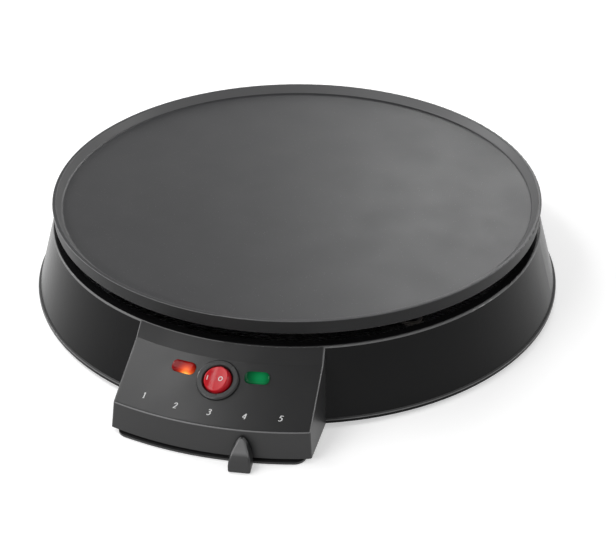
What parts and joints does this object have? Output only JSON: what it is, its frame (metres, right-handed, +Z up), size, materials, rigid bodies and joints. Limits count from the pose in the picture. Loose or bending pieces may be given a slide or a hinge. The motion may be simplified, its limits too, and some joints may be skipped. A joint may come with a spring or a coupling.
{
  "type": "electric crepe maker",
  "caption": "Round electric crepe hotplate on a low flared base, with a sloping control box at the front holding a rocker switch, indicator lamps and a temperature lever.",
  "frame": {"origin": "on the table, on the axis of the round hotplate, at the level of the undersides of the feet", "axes": "+Z up along the axis of the hotplate, -Y towards the control box and the user, +X to the user's right"},
  "size_m": [0.3266, 0.3668, 0.0615],
  "materials": {
    "nonstick_aluminium": "cast aluminium with a dark grey non-stick coating",
    "black_housing": "black heat-resistant plastic, satin gloss",
    "grey_panel": "dark grey satin plastic",
    "black_trim": "black satin plastic",
    "black_bezel": "black glossy plastic",
    "red_rocker": "translucent red plastic, glossy",
    "red_lens": "translucent red plastic, lit from behind",
    "green_lens": "translucent green plastic, glossy",
    "rubber": "black rubber",
    "zinc_steel": "zinc-plated sheet steel",
    "bright_sheet": "aluminised sheet",
    "element_sheath": "heat-darkened steel sheath",
    "ceramic": "unglazed white ceramic",
    "terminal_brass": "brass",
    "natural_plastic": "natural nylon",
    "neon_glass": "clear glass with a small neon electrode pair",
    "brown_wire": "brown insulation",
    "blue_wire": "blue insulation",
    "green_yellow_wire": "green and yellow insulation",
    "white_wire": "white glass-fibre and silicone sleeve",
    "screw_steel": "zinc-plated steel",
    "blackened_steel": "blackened steel",
    "dark_ceramic": "dark brown ceramic",
    "pale_print": "pale grey printed numbers and marks"
  },
  "bodies": {
    "base": {"base_housing": "black_housing", "bottom_cover": "zinc_steel", "bottom_cover_screws": "screw_steel", "control_box_floor": "black_trim", "control_floor_screws": "screw_steel", "control_housing": "grey_panel", "control_housing_screws": "screw_steel", "cord_gland": "rubber", "earth_tag": "terminal_brass", "element_seals": "ceramic", "element_terminals": "terminal_brass", "fuse_strap": "zinc_steel", "griddle_plate": "nonstick_aluminium", "heat_reflector": "bright_sheet", "heating_element": "element_sheath", "insulating_washers": "dark_ceramic", "lamp_holders": "natural_plastic", "lamp_leads": "white_wire", "lamp_lens_green": "green_lens", "lamp_lens_red": "red_lens", "neon_lamps": "neon_glass", "pad_screws": "screw_steel", "plate_screws": "screw_steel", "plate_standoffs": "blackened_steel", "push_on_sleeves": "terminal_brass", "reflector_bushings": "ceramic", "rubber_feet": "rubber", "switch_body": "black_bezel", "switch_tabs": "terminal_brass", "terminal_block": "natural_plastic", "terminal_block_screw": "screw_steel", "terminal_sleeves": "terminal_brass", "thermal_fuse": "terminal_brass", "thermostat_blades": "terminal_brass", "thermostat_frame": "zinc_steel", "thermostat_insulators": "ceramic", "thermostat_rivet": "screw_steel", "thermostat_screws": "screw_steel", "wire_clips": "natural_plastic", "wire_earth": "green_yellow_wire", "wire_element_feed": "white_wire", "wire_element_return": "white_wire", "wire_live": "brown_wire", "wire_neutral": "blue_wire", "wire_thermostat": "white_wire"},
    "lever": {"thermostat_shaft": "terminal_brass", "shaft_pin": "ceramic", "lever_arm": "zinc_steel", "lever_nut": "zinc_steel", "lever_knob": "black_trim"},
    "rocker": {"rocker_cap": "red_rocker"}
  },
  "joints": [
    {"name": "temperature_lever", "type": "hinge", "parent": "base", "child": "lever", "pos_m": [0, 0, 0.0123], "axis": [0, 0, 1], "range_deg": [-18, 6]},
    {"name": "power_rocker", "type": "hinge", "parent": "base", "child": "rocker", "pos_m": [0, -0.1675, 0.03128], "axis": [0, 0.869, 0.4948], "range_deg": [0, 20]}
  ]
}
